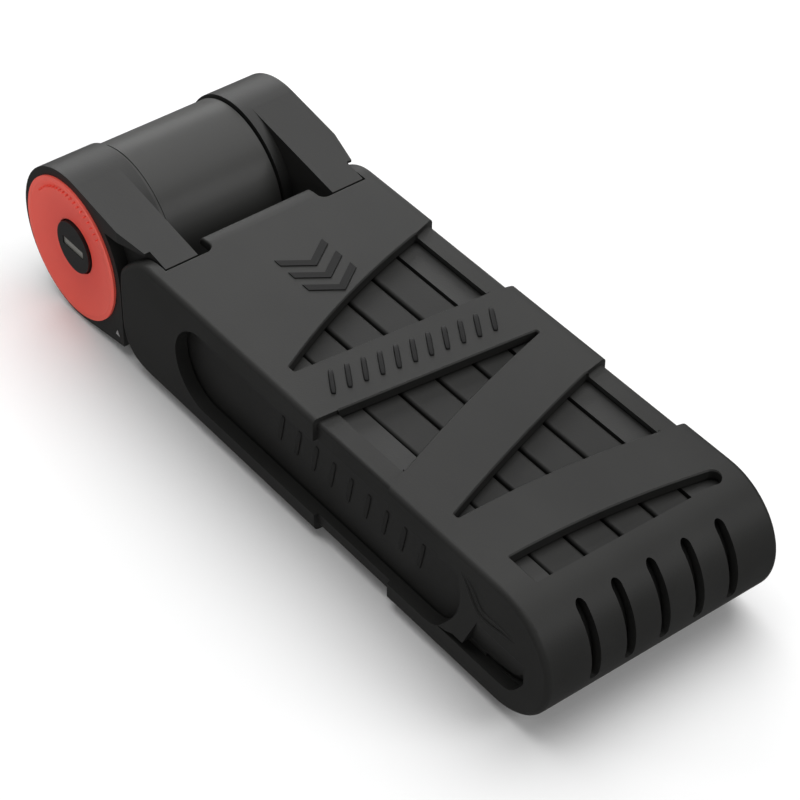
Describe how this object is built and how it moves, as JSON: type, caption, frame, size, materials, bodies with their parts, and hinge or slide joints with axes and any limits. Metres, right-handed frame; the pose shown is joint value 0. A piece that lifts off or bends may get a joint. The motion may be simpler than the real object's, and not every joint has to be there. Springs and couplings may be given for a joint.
{
  "type": "folding bike lock",
  "caption": "Folding plate lock for a bicycle, folded with its cylinder lock barrel at one end, carried in a moulded slotted case that screws to the frame.",
  "frame": {"origin": "middle of the two frame screw holes, on the face of the pads that bears on the frame tube", "axes": "+X along the folded links towards the closed end of the case, Y across the stack of links with the key on the -Y side, +Z away from the frame tube"},
  "size_m": [0.2038, 0.066, 0.0426],
  "materials": {
    "case_black": "fine-grained matte moulding",
    "link_black": "matte overmoulded link cover",
    "barrel_black": "satin coat with broad soft highlights",
    "cap_red": "satin coral red",
    "plug_black": "satin black",
    "steel": "hardened steel plate",
    "bright_steel": "bright shutter plate",
    "brass": "turned and stamped brass",
    "nylon": "natural nylon",
    "pad_rubber": "matte rubber"
  },
  "bodies": {
    "case": {"case_shell": "case_black", "frame_pads": "pad_rubber"},
    "lock": {"near_arm_cover": "link_black", "far_arm_cover": "link_black", "near_arm_core": "steel", "far_arm_core": "steel", "hinge_rivets": "steel", "hinge_washers": "nylon", "barrel_sleeve": "barrel_black", "near_seam_ring": "barrel_black", "cap_ring": "cap_red", "bolt_spring": "steel", "lock_housing": "steel", "housing_pins": "steel", "link_core_2": "steel", "link_cover_2": "link_black", "link_core_3": "steel", "link_cover_3": "link_black", "link_core_4": "steel", "link_cover_4": "link_black", "link_core_5": "steel", "link_cover_5": "link_black"},
    "plug": {"key_plug": "plug_black", "keyway_shutter": "bright_steel", "disc_tumblers": "brass", "disc_spacers": "brass", "sidebar": "steel", "drive_cam": "steel"},
    "bolt": {"locking_bolt": "steel"}
  },
  "joints": [
    {"name": "lock_slide", "type": "slide", "parent": "case", "child": "lock", "axis": [-1, 0, 0], "range_m": [0, 0.18]},
    {"name": "key_turn", "type": "hinge", "parent": "lock", "child": "plug", "pos_m": [-0.081, 0, 0.02095], "axis": [0, -1, 0], "range_deg": [0, 90]},
    {"name": "bolt_slide", "type": "slide", "parent": "lock", "child": "bolt", "axis": [-1, 0, 0], "range_m": [0, 0.003], "deforming": ["bolt_spring"]}
  ],
  "couplings": [
    {"joint": "bolt_slide", "follows": "key_turn", "m_per_rad": 0.0019098}
  ]
}
